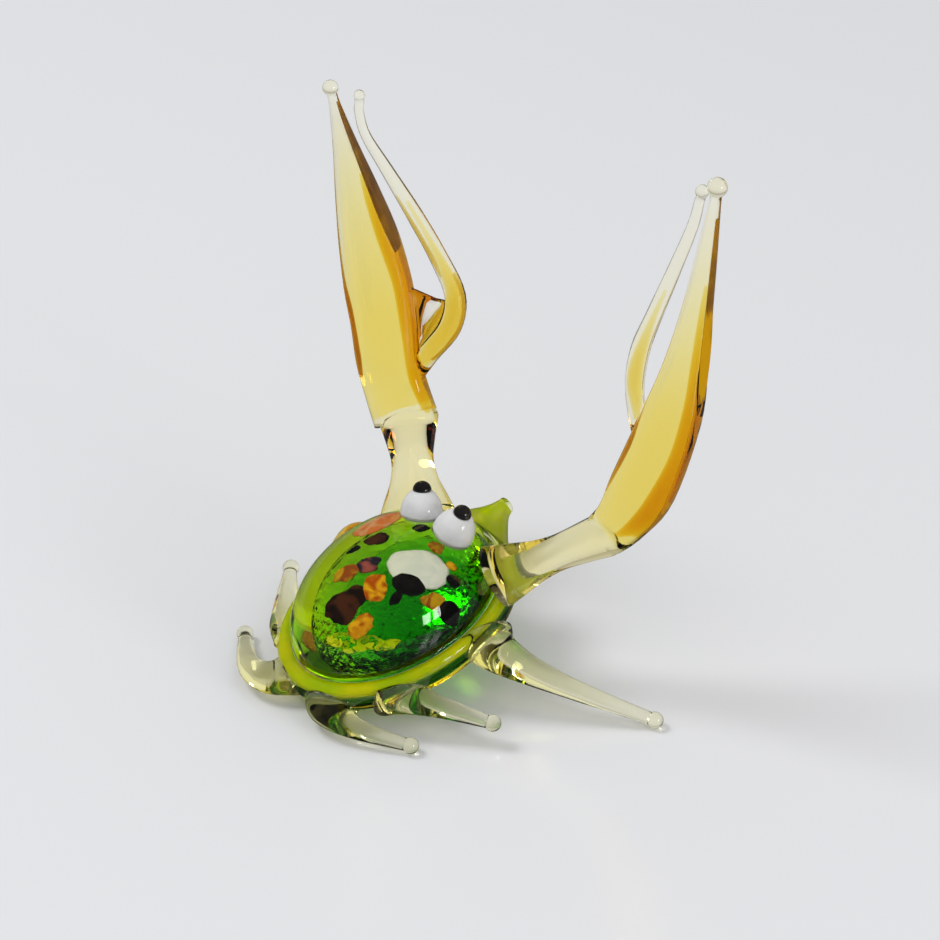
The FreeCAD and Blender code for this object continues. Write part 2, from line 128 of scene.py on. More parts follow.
def add_grain(nodes, links, size, detail, distortion=0.0):
    """Noise that stays with the piece."""
    coordinate = nodes.new("ShaderNodeTexCoord")
    grain = nodes.new("ShaderNodeTexNoise")
    grain.inputs["Scale"].default_value = size
    grain.inputs["Detail"].default_value = detail
    grain.inputs["Distortion"].default_value = distortion
    links.new(coordinate.outputs["Object"], grain.inputs["Vector"])
    return grain


def add_depth_colour(nodes, links, tint, density):
    """The colour that glass takes from its depth. The density is for a metre of glass."""
    depth = nodes.new("ShaderNodeVolumeAbsorption")
    depth.inputs["Color"].default_value = (*tint, 1)
    depth.inputs["Density"].default_value = density
    links.new(depth.outputs["Volume"], nodes["Material Output"].inputs["Volume"])


def clear_glass(name, tint, density, ripple, ripple_size):
    """Clear coloured glass, with the faint ripple that flame leaves on its skin."""
    material, nodes, links = new_material(name)
    shader = nodes["Principled BSDF"]
    shader.inputs["Base Color"].default_value = (1, 1, 1, 1)
    shader.inputs["Transmission Weight"].default_value = 1
    shader.inputs["IOR"].default_value = GLASS_BEND
    shader.inputs["Roughness"].default_value = 0.0
    grain = add_grain(nodes, links, ripple_size, 1.0)
    bump = nodes.new("ShaderNodeBump")
    bump.inputs["Strength"].default_value = ripple
    bump.inputs["Distance"].default_value = RIPPLE_DEPTH
    links.new(grain.outputs["Fac"], bump.inputs["Height"])
    links.new(bump.outputs["Normal"], shader.inputs["Normal"])
    add_depth_colour(nodes, links, tint, density)
    return material


rings = []
for step in range(33):
    angle = math.pi / 2 * step / 32
    height = DOME_BASE + DOME_RISE * math.cos(angle)
    rings.append(body_ring(DOME_SHARE * math.sin(angle), height, CASING_STEPS))
for share, height in LEDGE + WALL:
    rings.append(body_ring(share, height, CASING_STEPS))
for step in range(1, 17):
    angle = math.pi / 2 * step / 16
    height = BELLY_BASE - BELLY_DROP * math.sin(angle)
    rings.append(body_ring(BELLY_SHARE * math.cos(angle), height, CASING_STEPS))
casing = extruded_rings("casing", rings)
casing.data.materials.append(clear_glass("lime_casing", (0.95, 0.985, 0.30), 36, 0.06, 160.0))
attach(casing, "root")
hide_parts("body_casing")

# Gather: the first lime glass taken up on the rod, under the casing. It fused to the casing with no skin
# between them, so its surface doesn't bend light and only its colour shows.
GATHER_SHARE = 0.80
GATHER_TOP = 8.6
GATHER_BASE = 5.6
INNER_STEPS = 96


def inner_glass(name, tint, density):
    """Glass inside glass: no surface of its own, colour by depth."""
    material, nodes, links = new_material(name)
    nodes.remove(nodes["Principled BSDF"])
    skin = nodes.new("ShaderNodeBsdfTransparent")
    links.new(skin.outputs["BSDF"], nodes["Material Output"].inputs["Surface"])
    add_depth_colour(nodes, links, tint, density)
    return material


def pebble_rings(share, top, base, shift=(0.0, 0.0)):
    rings = []
    for step in range(25):
        angle = math.pi * step / 24
        height = top if step <= 12 else base
        rings.append(body_ring(share * math.sin(angle), height * math.cos(angle), INNER_STEPS, shift))
    return rings


gather = extruded_rings("gather", pebble_rings(GATHER_SHARE, GATHER_TOP, GATHER_BASE))
gather.data.materials.append(inner_glass("lime_gather", (0.925, 0.98, 0.0), 520))
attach(gather, "root")
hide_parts("body_gather")

# Core: dark green glass inside the gather, towards the right rear. It is three layers of one batch, each
# deeper in colour, with a crackle between them that bends light a little and breaks the green up.
CRACKLE_SIZE = 900.0
CRACKLE_DEPTH = 1.2 * MM
CORE_TINT = (0.24, 0.79, 0.0)
# Columns: name, glass, share of the body's size, height over and under its middle, shift to the left and
# ahead, density, and how much the surface bends light.
CORE_LAYERS = (
    ("core", "green_core", 0.67, 5.2, 4.6, (-2.9, 0.6), 170, 1.04),
    ("core_depth", "core_depth_glass", 0.55, 4.6, 4.0, (-3.6, 0.8), 200, 1.02),
    ("core_heart", "core_heart_glass", 0.42, 4.0, 3.4, (-4.3, 1.0), 260, 1.02),
)
for name, glass, share, top, base, shift, density, bend in CORE_LAYERS:
    layer = extruded_rings(name, pebble_rings(share, top, base, shift))
    green, nodes, links = new_material(glass)
    nodes.remove(nodes["Principled BSDF"])
    crackled = nodes.new("ShaderNodeBsdfRefraction")
    crackled.inputs["IOR"].default_value = bend
    crackled.inputs["Roughness"].default_value = 0.0
    coordinate = nodes.new("ShaderNodeTexCoord")
    crackle = nodes.new("ShaderNodeTexVoronoi")
    crackle.inputs["Scale"].default_value = CRACKLE_SIZE
    swell = nodes.new("ShaderNodeBump")
    swell.inputs["Strength"].default_value = 1.0
    swell.inputs["Distance"].default_value = CRACKLE_DEPTH
    links.new(coordinate.outputs["Object"], crackle.inputs["Vector"])
    links.new(crackle.outputs["Distance"], swell.inputs["Height"])
    links.new(swell.outputs["Normal"], crackled.inputs["Normal"])
    links.new(crackled.outputs["BSDF"], nodes["Material Output"].inputs["Surface"])
    add_depth_colour(nodes, links, CORE_TINT, density)
    layer.data.materials.append(green)
    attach(layer, "root")
    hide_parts("body_core")

# Rim: a bead of milky lime glass in the ledge, over a dark green hoop in the wall. The bead's bright lime is
# painted light for the light that comes through the clear rim all round. The hoop's dark green is painted
# shade for the dark band under the rim.
# Columns: share of the body's size, half width in shares, height and half height.
RIM_LIGHT_BEAD = (0.925, 0.055, -0.35, 0.85)
WALL_SHADE_BEAD = (0.955, 0.030, -2.2, 0.85)
MILK_THROUGH = 0.25
MILK_CLEAR = 0.12


def add_streaks(nodes, links, grain, colours, spread):
    """Two colours that follow the grain. The spread is where one ends and where the other is full."""
    ramp = nodes.new("ShaderNodeValToRGB")
    for element, colour, position in zip(ramp.color_ramp.elements, colours, spread):
        element.position = position
        element.color = (*colour, 1)
    links.new(grain.outputs["Fac"], ramp.inputs["Fac"])
    return ramp


def milky_glass(name, colours, size, clear_share=MILK_CLEAR):
    """Glass that scatters: light comes back from it and through it, in uneven streaks."""
    material, nodes, links = new_material(name)
    nodes.remove(nodes["Principled BSDF"])
    ramp = add_streaks(nodes, links, add_grain(nodes, links, size, 3.0), colours, (0.38, 0.58))
    back = nodes.new("ShaderNodeBsdfDiffuse")
    through = nodes.new("ShaderNodeBsdfTranslucent")
    clear = nodes.new("ShaderNodeBsdfTransparent")
    milk = nodes.new("ShaderNodeMixShader")
    milk.inputs["Fac"].default_value = MILK_THROUGH
    mixed = nodes.new("ShaderNodeMixShader")
    mixed.name = "clear_share"
    mixed.inputs["Fac"].default_value = clear_share
    for shader in (back, through, clear):
        links.new(ramp.outputs["Color"], shader.inputs["Color"])
    links.new(back.outputs["BSDF"], milk.inputs[1])
    links.new(through.outputs["BSDF"], milk.inputs[2])
    links.new(milk.outputs["Shader"], mixed.inputs[1])
    links.new(clear.outputs["BSDF"], mixed.inputs[2])
    links.new(mixed.outputs["Shader"], nodes["Material Output"].inputs["Surface"])
    return material


def hoop_rings(share, half_width, height, half_height):
    """Rings that run round the body and pass about a hoop's own section."""
    rings = []
    for step in range(25):
        angle = 2 * math.pi * step / 24
        up = height + half_height * math.sin(angle)
        rings.append(body_ring(share + half_width * math.cos(angle), up, INNER_STEPS))
    return rings


band = extruded_rings("rim_painted_light_band", hoop_rings(*RIM_LIGHT_BEAD))
# Painted light: the bead's bright milky lime stands in for light coming through the clear rim.
band.data.materials.append(milky_glass("lime_rim_painted_light", ((0.72, 0.93, 0.0), (1.0, 1.0, 0.0)), 120.0))
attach(band, "root")
hoop = extruded_rings("wall_painted_shade_hoop", hoop_rings(*WALL_SHADE_BEAD))
# Painted shade: the hoop's dense dark green darkens the wall under the rim.
hoop.data.materials.append(inner_glass("green_painted_shade", (0.30, 0.70, 0.0), 3200))
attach(hoop, "root")

# Flakes: three thin, torn leaves of bright milky lime glass that lie low in the gather at its rear. Their
# bright
# lime is painted light: it stands in for the patch of light that the dome focuses onto the core there.
# Columns: left, ahead, half length, half width and height.
PAINTED_LIGHT_FLAKES = ((-6.0, -11.2, 3.6, 1.8, 4.2), (-3.4, -12.6, 3.0, 1.5, 4.6), (-8.8, -8.6, 2.6, 1.2, 3.6))
FLAKE_HALF_THICKNESS = 0.35
FLAKE_UNEVEN = 0.35
FLAKE_SEED_STEP = 5.1
FLAKE_COS = 0.66
FLAKE_SIN = 0.75
# Painted light: bright milky lime for the light that the dome focuses onto the core.
painted_light_glass = milky_glass("lime_painted_light_flakes", ((0.75, 0.95, 0.0), (1.0, 1.0, 0.04)), 300.0)
nodes = painted_light_glass.node_tree.nodes
links = painted_light_glass.node_tree.links
tears = nodes.new("ShaderNodeMapRange")
tears.inputs["From Min"].default_value = 0.47
tears.inputs["From Max"].default_value = 0.52
tears.inputs["To Min"].default_value = 0.05
tears.inputs["To Max"].default_value = 1.0
links.new(add_grain(nodes, links, 620.0, 3.0, 1.2).outputs["Fac"], tears.inputs["Value"])
links.new(tears.outputs["Result"], nodes["clear_share"].inputs["Fac"])
for number, (left, ahead, half_length, half_width, height) in enumerate(PAINTED_LIGHT_FLAKES):
    rings = []
    for step in range(9):
        angle = math.pi * step / 8
        ring = []
        for turn in range(36):
            way = 2 * math.pi * turn / 36
            wave = noise.noise(Vector((math.cos(way), math.sin(way), number * FLAKE_SEED_STEP)))
            reach = math.sin(angle) * (1 + FLAKE_UNEVEN * wave)
            x = half_length * reach * math.cos(way)
            y = half_width * reach * math.sin(way)
            ring.append(on_body(left + FLAKE_COS * x - FLAKE_SIN * y, ahead - FLAKE_SIN * x - FLAKE_COS * y,
                                height + FLAKE_HALF_THICKNESS * math.cos(angle)))
        rings.append(ring)
    painted_light_flake = extruded_rings("lime_painted_light_flake_" + str(number + 1), rings)
    painted_light_flake.data.materials.append(painted_light_glass)
    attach(painted_light_flake, "root")

# Legs: six rods of clear straw glass, drawn out hot from broad roots under the rim. Each ends in a melted
# ball. The right front one is the longest, and the left front one is a darker amber.
LEG_ROOT_REACH = 20.4
LEG_ROOT_LEVEL = -3.0
LEG_STATIONS = (0.0, 0.1, 0.22, 0.36, 0.52, 0.7, 0.86, 0.95)
LEG_HALF_WIDTH = 1.05
LEG_TAPER = 2.1
LEG_FLARE = 2.8
LEG_FLATNESS = 0.55
LEG_BALL = 1.43
LEG_NECK = 1.06
BOW_POWER = 0.65
STANDING = 1.39
RAISED = 4.2
UPRIGHT = Vector((0, 0, 1))
# Columns: side, way round from the front in degrees, foot's place in body lengths out and ahead, foot's
# height, bow of the leg in body lengths, and how stout the leg is.
LEGS = {
    "right_front_leg": (-1, 74, (0.931, 0.471), STANDING, (0, -0.054, 0), 1.0),
    "right_middle_leg": (-1, 125, (0.629, -0.056), RAISED, (0, -0.022, 0.013), 0.9),
    "right_rear_leg": (-1, 161, (0.478, -0.321), STANDING, (0, -0.076, 0), 0.8),
    "left_front_leg": (1, 74, (0.625, 0.134), STANDING, (0, 0, 0.134), 0.8),
    "left_middle_leg": (1, 130, (0.658, 0), RAISED, (0, -0.036, 0.013), 0.8),
    "left_rear_leg": (1, 164, (0.484, -0.355), STANDING, (0, -0.112, 0), 0.8),
}


def smoothed(rows, steps=5):
    """Rows of (point, half width, half depth) with more rows between them on a smooth line."""
    values = [[*row[0], *row[1:]] for row in rows]
    result = []
    for index in range(len(values) - 1):
        before = values[max(index - 1, 0)]
        start, end = values[index], values[index + 1]
        after = values[min(index + 2, len(values) - 1)]
        for step in range(steps):
            t = step / steps
            row = []
            for a, b, c, d in zip(before, start, end, after):
                row.append(0.5 * (2 * b + (c - a) * t + (2 * a - 5 * b + 4 * c - d) * t * t
                                  + (3 * b - a - 3 * c + d) * t ** 3))
            result.append(row)
    result.append(values[-1])
    return [(Vector(row[:3]), *row[3:]) for row in result]


def limb_rings(rows, wide, square=1.0, points=28):
    """Rings square to the limb's line. `square` under 1 presses an oval towards a bar."""
    rings = []
    for index, row in enumerate(rows):
        ahead = rows[min(index + 1, len(rows) - 1)][0] - rows[max(index - 1, 0)][0]
        ahead.normalize()
        side = (wide - ahead * wide.dot(ahead)).normalized()
        deep = ahead.cross(side)
        ring = []
        for step in range(points):
            angle = 2 * math.pi * step / points
            c, s = math.cos(angle), math.sin(angle)
            across = math.copysign(abs(c) ** square, c) * row[1]
            through = math.copysign(abs(s) ** square, s) * row[2]
            ring.append((row[0] + side * across + deep * through) * MM)
        rings.append(ring)
    return rings


def ball_rows(before, centre, radius, neck):
    """The rod's neck and its melted ball, as rows that go on from the point before."""
    ahead = (centre - before).normalized()
    start = math.asin(min(neck / radius, 0.9))
    rows = []
    for step in range(13):
        angle = start + (math.pi - start) * step / 12
        size = max(radius * math.sin(angle), 0.002)
        rows.append((centre - ahead * (radius * math.cos(angle)), size, size))
    return rows


def bow(share):
    """How far out a bowed limb is at a share of its length. It bows most near its root."""
    return math.sin(math.pi * share ** BOW_POWER)


def join_glass(obj, other, operation):
    """Cuts the other mesh out of this one, or melts it in, and uses it up."""
    bpy.ops.object.select_all(action="DESELECT")
    bpy.context.view_layer.objects.active = obj
    obj.select_set(True)
    joint = obj.modifiers.new("joint", "BOOLEAN")
    joint.operation = operation
    joint.solver = "EXACT"
    joint.object = other
    bpy.ops.object.modifier_apply(modifier="joint")
    bpy.data.objects.remove(other)


def cut_back(obj, carriers, inset):
    """Takes the carriers, thinner by the inset, out of a limb that was made a little way into them."""
    for carrier in carriers:
        bpy.ops.object.select_all(action="DESELECT")
        bpy.context.view_layer.objects.active = carrier
        carrier.select_set(True)
        bpy.ops.object.duplicate()
        cutter = bpy.context.object
        bpy.ops.object.mode_set(mode="EDIT")
        bpy.ops.mesh.select_all(action="SELECT")
        bpy.ops.transform.shrink_fatten(value=-inset * MM)
        bpy.ops.object.mode_set(mode="OBJECT")
        join_glass(obj, cutter, "DIFFERENCE")


def coat(obj, material):
    """Gives a piece that was cut or melted one glass and a smooth skin."""
    obj.data.materials.clear()
    obj.data.materials.append(material)
    bpy.ops.object.select_all(action="DESELECT")
    bpy.context.view_layer.objects.active = obj
    obj.select_set(True)
    bpy.ops.object.shade_smooth()


LIMB_INSET = 0.06
straw_leg = clear_glass("straw_leg_glass", (0.992, 0.955, 0.45), 170, 0.25, 180.0)
amber_leg = clear_glass("amber_leg_glass", (0.965, 0.84, 0.05), 650, 0.25, 180.0)
for name, (side, degrees, place, height, lean, stoutness) in LEGS.items():
    angle = math.radians(degrees)
    left, ahead = side * math.sin(angle) * LEG_ROOT_REACH * WIDTH_RATIO, math.cos(angle) * LEG_ROOT_REACH
    root = on_body(left, ahead, LEG_ROOT_LEVEL) / MM
    out, forward = side * place[0] * BODY_LENGTH, place[1] * BODY_LENGTH
    foot = Vector((BODY_MIDDLE.x + out, BODY_MIDDLE.y - forward, height))
    lean = Vector((side * lean[0], -lean[1], lean[2])) * BODY_LENGTH
    rows = []
    for share in LEG_STATIONS:
        rest = 1 - share
        swell = LEG_TAPER * stoutness * rest + LEG_FLARE * stoutness * rest ** 4
        point = root + (foot - root) * share + lean * bow(share)
        rows.append((point, LEG_HALF_WIDTH + swell, LEG_HALF_WIDTH + swell * LEG_FLATNESS))
    rows = smoothed(rows) + ball_rows(rows[-1][0], foot, LEG_BALL, LEG_NECK)
    aside = UPRIGHT.cross(foot - root).normalized()
    leg = extruded_rings(name + "_rod", limb_rings(rows, aside))
    cut_back(leg, [casing], LIMB_INSET)
    coat(leg, amber_leg if name == "left_front_leg" else straw_leg)
    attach(leg, "root")
    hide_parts(name)

# Snout: the front of the body's own lime glass, drawn out broad and pinched to a blunt tip. A milky lime
# heart
# inside it is painted light: its bright colour stands in for the light that comes through the clear snout.
LEVEL_SIDE = Vector((1, 0, 0))
SNOUT_ROOT = 15.0
SNOUT_LENGTH = 11.6
SNOUT_LEVEL = 0.8
SNOUT_LIFT = 2.0
SNOUT_INSET = 0.15
NOSE_CLEAR = 0.35
# Columns: shares of the snout's length and lift, then half width and half depth.
SNOUT = ((0, 0, 9.5, 4.5), (0.35, 0.15, 7.6, 3.87), (0.6, 0.45, 4.2, 2.97), (0.82, 0.8, 1.7, 2.07),
         (0.97, 0.97, 1.0, 1.7))
SNOUT_LIGHT_HEART = ((0.40, 0.2, 5.8, 3.1), (0.6, 0.45, 3.8, 2.6), (0.8, 0.77, 1.5, 1.8), (0.93, 0.93, 0.7, 1.3))


def snout_rows(stations):
    rows = []
    for out, lift, half_width, half_depth in stations:
        place = on_body(0, SNOUT_ROOT + out * SNOUT_LENGTH, SNOUT_LEVEL + lift * SNOUT_LIFT) / MM
        rows.append((place, half_width, half_depth))
    return smoothed(rows)


def closed_ends(rows, first=0.05, last=0.05):
    """Closes a buried heart or thread at both ends with a ring that is next to nothing."""
    return [(rows[0][0], first, first)] + rows + [(rows[-1][0], last, last)]


def rounded_end(rows, steps):
    """Rounds a limb off past its last row. Steps are a way on in mm and a share of the last row's size."""
    point, half_width, half_depth = rows[-1]
    ahead = (point - rows[-2][0]).normalized()
    return rows + [(point + ahead * out, half_width * size, half_depth * size) for out, size in steps]


nose_rows = rounded_end(snout_rows(SNOUT), ((0.25, 0.8), (0.35, 0.4)))
snout = extruded_rings("snout_nose", limb_rings(nose_rows, LEVEL_SIDE, 0.9))
cut_back(snout, [casing], SNOUT_INSET)
coat(snout, clear_glass("lime_nose", (0.90, 0.96, 0.0), 180, 0.3, 200.0))
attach(snout, "root")
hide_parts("snout")
# Painted light: the heart's bright milky lime brightens the snout from inside.
heart_rows = closed_ends(snout_rows(SNOUT_LIGHT_HEART), 0.05, 0.02)
nose_light_heart = extruded_rings("snout_painted_light_heart", limb_rings(heart_rows, LEVEL_SIDE, 1.0, 20))
nose_painted_light = milky_glass("lime_nose_painted_light", ((0.82, 0.97, 0.0), (1.0, 1.0, 0.15)), 260.0, NOSE_CLEAR)
nose_light_heart.data.materials.append(nose_painted_light)
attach(nose_light_heart, "root")

# Claw arms: waisted rods of straw glass from the body's shoulders to rounded knuckles. They were drawn from
# broad roots on the dome, and the left one is the stouter.
KNUCKLE = {1: Vector((28.0, -17.2, 27.3)), -1: Vector((-23.6, -17.2, 29.0))}
ARM_ROOT_LEVEL = 3.4
ARM_DEPTH = 6.0
ARM_ROOT_SWELL = 3.0
ARM_KNUCKLE_SWELL = 1.4
# Columns: share of the arm's length, flare towards the root and swell towards the knuckle.
ARM_SHARES = ((0.0, 1.0, 0), (0.18, 0.62, 0), (0.38, 0.18, 0), (0.58, 0, 0), (0.8, 0, 0.42), (1.0, 0, 1.0))
KNUCKLE_ROUND = ((0.9, 0.95), (1.8, 0.84), (2.6, 0.66), (3.2, 0.45), (3.55, 0.2))
LEFT_WIDE_SIDE = Vector((-0.799, -0.602, 0.0))
# Columns: way round from the front in degrees, reach of the root, the arm's wide side, and its widths at
# the root, the neck and the knuckle.
ARMS = {
    1: (40, 17.8, LEFT_WIDE_SIDE, 14.0, 7.3, 10.6),
    -1: (50, 20.4, UPRIGHT, 11.4, 6.0, 7.6),
}
SIDE_NAMES = {1: "left", -1: "right"}
arms = {}
for side, (degrees, root_reach, wide, root_width, neck_width, knuckle_width) in ARMS.items():
    angle = math.radians(degrees)
    left, ahead = side * math.sin(angle) * root_reach * WIDTH_RATIO, math.cos(angle) * root_reach
    root = on_body(left, ahead, ARM_ROOT_LEVEL) / MM
    arm_line = KNUCKLE[side] - root
    rows = []
    for out, flare, swell in ARM_SHARES:
        width = neck_width + flare * (root_width - neck_width) + swell * (knuckle_width - neck_width)
        depth = ARM_DEPTH + flare * ARM_ROOT_SWELL + swell * ARM_KNUCKLE_SWELL
        rows.append((root + arm_line * out, width / 2, depth / 2))
    rows = rounded_end(smoothed(rows), KNUCKLE_ROUND)
    arms[side] = extruded_rings(SIDE_NAMES[side] + "_claw_arm_rod", limb_rings(rows, wide, 0.95))

# Claw blades: bars pressed flat while hot, so each has two broad faces and rounded edges. They taper to a
# fixed fingertip with a melted ball. An amber heart inside, thinner towards the tip, colours the faces.
TIP = {1: Vector((38.2, -9.6, 89.4)), -1: Vector((-33.8, -29.6, 93.0))}
WIDE = {1: LEFT_WIDE_SIDE, -1: Vector((0.927, 0.375, 0.0))}
BLADE_LEAN = {1: Vector((3.5, -2.8, 0)), -1: Vector((-3.5, -2.8, 0))}
PRESSED = 0.62
HEART_SHARE = 0.84
HEART_FULL = 0.35
# Columns: width, depth, ball's radius, then rows of share along, place aside in widths, and shares of the
# width and of the depth.
BLADES = {
    1: (11.8, 7.4, 1.33, (
        (0.0, -0.04, 0.95, 0.90), (0.06, -0.10, 0.93, 0.96), (0.15, -0.135, 0.93, 1.0),
        (0.26, -0.07, 0.97, 1.0), (0.37, -0.03, 1.0, 0.96), (0.52, 0, 0.88, 0.86), (0.67, 0, 0.63, 0.70),
        (0.82, 0, 0.34, 0.48), (0.94, 0, 0.16, 0.26), (0.98, 0, 0.13, 0.21))),
    -1: (10.8, 7.4, 1.63, (
        (0.0, 0, 0.72, 0.86), (0.05, 0, 0.82, 0.94), (0.15, 0, 1.0, 1.0), (0.36, 0, 0.88, 0.94),
        (0.51, 0, 0.64, 0.76), (0.67, 0, 0.43, 0.56), (0.82, 0, 0.29, 0.40), (0.94, 0, 0.18, 0.28),
        (0.975, 0, 0.16, 0.22))),
}


def blade_point(side, share, aside):
    """A point at a share of the blade's bowed line, moved aside in mm."""
    middle = KNUCKLE[side] + (TIP[side] - KNUCKLE[side]) * share + BLADE_LEAN[side] * bow(share)
    return middle + WIDE[side] * aside


amber_heart = inner_glass("amber_heart_glass", (0.99, 0.875, 0.0), 165)
blades = {}
for side, (width, depth, ball, stations) in BLADES.items():
    rows = []
    for along, aside, width_share, depth_share in stations:
        point = blade_point(side, along, aside * width)
        rows.append((point, width_share * width / 2, depth_share * depth / 2))
    rows = smoothed(rows)
    tail = ball_rows(rows[-1][0], TIP[side], ball, rows[-1][2])
    inner = rows[2:-4]
    heart_rows = []
    for number, (point, half_width, half_depth) in enumerate(inner):
        fade = 1 - max(0.0, number / len(inner) - HEART_FULL) / (1 - HEART_FULL)
        heart_rows.append((point, half_width * HEART_SHARE * fade ** 0.25, half_depth * HEART_SHARE * fade))
    name = SIDE_NAMES[side] + "_claw_palm"
    rings = limb_rings(rows, WIDE[side], PRESSED) + limb_rings(tail, WIDE[side])
    blades[side] = extruded_rings(name + "_blade", rings)
    heart_rows = closed_ends(heart_rows, 0.05, 0.02)
    heart = extruded_rings(name + "_heart", limb_rings(heart_rows, WIDE[side], PRESSED))
    heart.data.materials.append(amber_heart)
    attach(heart, "root")

# Claw fingers: bowed rods of clear straw glass. Each leaves its blade, swings clear of it and comes back
# near its tip, where it ends in a smaller melted ball.
FINGER_NECK = 0.8
NECK_TO_BALL = 1.6
# Columns: swing aside in mm, rod's radius, ball's radius, then rows of share along the blade, share of the
# swing and thickness in radii.
FINGERS = {
    1: (13.2, 1.6, 0.94, (
        (0.11, 0.16, 1.2), (0.18, 0.46, 1.15), (0.27, 0.84, 1.2), (0.37, 1.0, 1.15), (0.49, 0.89, 1.0),
        (0.62, 0.70, 0.9), (0.76, 0.47, 0.68), (0.86, 0.31, 0.54), (0.93, 0.30, 0.5), (0.985, 0.36, 0.52))),
    -1: (8.2, 1.6, 1.13, (
        (0.24, 0.24, 0.9), (0.33, 0.66, 0.95), (0.42, 0.94, 1.0), (0.52, 1.0, 1.0), (0.62, 0.86, 0.85),
        (0.74, 0.64, 0.72), (0.88, 0.38, 0.58), (0.98, 0.29, 0.5))),
}
fingers = {}
for side, (swing, radius, ball, stations) in FINGERS.items():
    rows = []
    for along, gap, thickness in stations:
        rows.append((blade_point(side, along, gap * swing), thickness * radius, thickness * radius))
    tip = rows.pop()[0]
    before = rows[-1][0]
    rows.append((tip - (tip - before).normalized() * ball * NECK_TO_BALL, FINGER_NECK, FINGER_NECK))
    rows = smoothed(rows) + ball_rows(before, tip, ball, FINGER_NECK)
    rings = limb_rings(rows, WIDE[side], 1.0, 20)
    fingers[side] = extruded_rings(SIDE_NAMES[side] + "_claw_finger_rod", rings)

# Threads: darker glass drawn into the blades' edges and the rods. Amber threads and thin brown lines have
# no skin of their own, and the brown streaks at the tips are milky.
amber_thread = inner_glass("amber_thread_glass", (0.955, 0.83, 0.0), 1050)
brown_line = inner_glass("brown_line_glass", (0.88, 0.72, 0.0), 1900)
brown_streak = milky_glass("brown_streak_glass", ((0.42, 0.17, 0.0), (0.80, 0.44, 0.01)), 90.0)
# Columns: name, side, glass, what the place aside is a share of (blade's width or rod's swing), then rows
# of share along the blade, place aside, half width and half depth.
THREADS = (
    ("left_blade_thread", 1, amber_thread, BLADES, (
        (0.01, 0.26, 0.3, 0.6), (0.06, 0.28, 1.2, 2.3), (0.13, 0.25, 1.5, 2.6), (0.25, 0.30, 1.5, 2.6),
        (0.40, 0.34, 1.4, 2.6), (0.55, 0.26, 1.3, 2.2), (0.66, 0.18, 0.8, 1.5), (0.74, 0.14, 0.4, 0.8))),
    ("left_edge_line", 1, brown_line, BLADES, (
        (0.10, -0.52, 0.3, 1.6), (0.26, -0.46, 0.35, 1.8), (0.40, -0.44, 0.35, 1.8),
        (0.55, -0.36, 0.35, 1.6), (0.70, -0.24, 0.3, 1.2), (0.84, -0.12, 0.2, 0.8))),
    ("left_tip_streak", 1, brown_streak, BLADES, (
        (0.50, 0.37, 0.2, 1.2), (0.60, 0.31, 0.3, 2.0), (0.70, 0.23, 0.3, 1.7), (0.80, 0.15, 0.25, 1.2),
        (0.90, 0.08, 0.2, 0.8), (0.96, 0.05, 0.15, 0.5))),
    ("right_blade_thread", -1, amber_thread, BLADES, (
        (0.01, -0.12, 0.3, 0.6), (0.06, -0.24, 1.2, 2.3), (0.13, -0.30, 1.5, 2.6), (0.26, -0.32, 1.4, 2.6),
        (0.40, -0.28, 1.3, 2.6), (0.54, -0.18, 1.0, 2.0), (0.66, -0.10, 0.5, 1.1), (0.74, -0.08, 0.3, 0.6))),
    ("right_tip_streak", -1, brown_streak, BLADES, (
        (0.42, -0.38, 0.2, 1.4), (0.55, -0.27, 0.3, 1.9), (0.68, -0.18, 0.3, 1.4), (0.80, -0.12, 0.25, 1.0),
        (0.92, -0.07, 0.2, 0.6))),
    ("right_edge_line", -1, brown_line, BLADES, (
        (0.12, 0.42, 0.3, 1.6), (0.26, 0.40, 0.35, 1.8), (0.40, 0.37, 0.35, 1.6), (0.54, 0.26, 0.3, 1.3),
        (0.70, 0.16, 0.2, 0.8))),
    ("left_rod_thread", 1, amber_thread, FINGERS, (
        (0.14, 0.28, 0.8, 0.9), (0.20, 0.54, 1.1, 1.1), (0.28, 0.86, 1.2, 1.2), (0.37, 1.0, 1.1, 1.1),
        (0.44, 0.95, 0.7, 0.7), (0.55, 0.81, 0.35, 0.35), (0.66, 0.64, 0.25, 0.25))),
    ("left_elbow_line", 1, brown_line, FINGERS, (
        (0.17, 0.48, 0.2, 0.6), (0.22, 0.74, 0.3, 0.9), (0.29, 0.99, 0.35, 1.0), (0.37, 1.10, 0.35, 1.0),
        (0.44, 1.03, 0.2, 0.6))),
    ("left_rod_line", 1, brown_line, FINGERS, (
        (0.43, 0.90, 0.12, 0.3), (0.49, 0.83, 0.28, 0.5), (0.55, 0.745, 0.28, 0.5), (0.62, 0.64, 0.2, 0.4),
        (0.68, 0.55, 0.1, 0.2))),
    ("right_rod_thread", -1, amber_thread, FINGERS, (
        (0.33, 0.66, 0.5, 0.5), (0.42, 0.94, 0.8, 0.8), (0.50, 1.0, 0.7, 0.7), (0.60, 0.89, 0.4, 0.4),
        (0.70, 0.71, 0.2, 0.2))),
)
for name, side, glass, spans, stations in THREADS:
    rows = []
    for along, aside, half_width, half_depth in stations:
        rows.append((blade_point(side, along, aside * spans[side][0]), half_width, half_depth))
    thread = extruded_rings(name, limb_rings(closed_ends(smoothed(rows)), WIDE[side], 1.0, 20))
    thread.data.materials.append(glass)
    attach(thread, "root")

